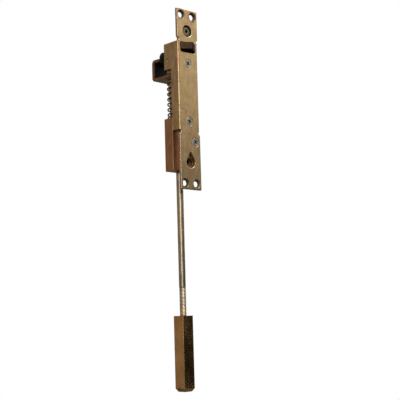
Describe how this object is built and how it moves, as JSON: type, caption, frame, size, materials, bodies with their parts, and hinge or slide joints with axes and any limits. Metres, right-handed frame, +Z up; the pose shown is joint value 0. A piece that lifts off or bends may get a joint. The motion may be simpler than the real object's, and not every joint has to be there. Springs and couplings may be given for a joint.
{
  "type": "flush bolt",
  "caption": "Automatic flush bolt for a metal door edge: folded steel faceplate, sliding wedge trigger, sprung C-yoke, pull rod and square bolt head.",
  "frame": {"origin": "centre of the front face of the faceplate, in line with the centre of the four-screw pattern", "axes": "+Z up along the faceplate, with the rod pointing down; +Y into the door; +X across the door edge"},
  "size_m": [0.0254, 0.0474, 0.3552],
  "materials": {
    "plate_zinc": "yellow zinc plate, softly brushed, faint iridescence",
    "block_zinc": "yellow zinc plate, satin",
    "strap_zinc": "yellow zinc plate, satin",
    "trigger_zinc": "darkened zinc plate, rubbed",
    "bolt_zinc": "yellow zinc plate over a drawn square bar",
    "screw_zinc": "clear zinc plate",
    "rod_steel": "bright drawn steel, thin plate",
    "spring_steel": "dark plated spring wire",
    "pin_steel": "plain steel, ends staked",
    "bronze": "sintered bronze, satin",
    "brass_screw": "yellow plate, turned",
    "black_nylon": "black nylon"
  },
  "bodies": {
    "housing": {"faceplate": "plate_zinc", "guide_block": "block_zinc", "upper_bush": "bronze", "lower_bush": "bronze", "block_screws": "screw_zinc", "guide_screw": "brass_screw", "trigger_carrier": "block_zinc", "carrier_screw": "screw_zinc", "upper_bracket": "plate_zinc", "jack_screw": "screw_zinc", "lever_pin": "pin_steel", "spring_seat": "screw_zinc", "return_spring": "spring_steel", "spring_sleeve": "strap_zinc"},
    "trigger_slider": {"trigger": "trigger_zinc"},
    "cam_lever": {"lever_plate_left": "strap_zinc", "lever_plate_right": "strap_zinc", "lever_hub": "bronze", "toe_pin": "pin_steel"},
    "bolt_slide": {"yoke": "strap_zinc", "yoke_pad": "black_nylon", "roller_pin": "pin_steel", "pull_rod": "rod_steel", "rod_washer": "screw_zinc", "rod_nut": "screw_zinc", "override_spring": "spring_steel", "override_seat": "screw_zinc", "rod_clip": "spring_steel", "bolt_head": "bolt_zinc", "yoke_tube": "strap_zinc"},
    "left_roller": {"roller_left": "black_nylon"},
    "right_roller": {"roller_right": "black_nylon"}
  },
  "joints": [
    {"name": "bolt_throw", "type": "slide", "parent": "housing", "child": "bolt_slide", "axis": [0, 0, -1], "range_m": [0, 0.019], "stiffness_N_per_m": 900, "springref_m": -0.006, "deforming": ["return_spring"]},
    {"name": "trigger_press", "type": "slide", "parent": "housing", "child": "trigger_slider", "axis": [0, 1, 0], "range_m": [0, 0.0065]},
    {"name": "lever_swing", "type": "hinge", "parent": "housing", "child": "cam_lever", "pos_m": [0, 0.0141, 0.03823], "axis": [-1, 0, 0], "range_deg": [0, 80.48]},
    {"name": "left_roller_spin", "type": "hinge", "parent": "bolt_slide", "child": "left_roller", "pos_m": [0, 0.0258, 0.04433], "axis": [1, 0, 0], "continuous": true},
    {"name": "right_roller_spin", "type": "hinge", "parent": "bolt_slide", "child": "right_roller", "pos_m": [0, 0.0258, 0.04433], "axis": [1, 0, 0], "continuous": true}
  ],
  "couplings": [
    {"joint": "trigger_press", "follows": "bolt_throw", "ratio": 0.34211},
    {"joint": "lever_swing", "follows": "bolt_throw", "rad_per_m": 73.926}
  ]
}
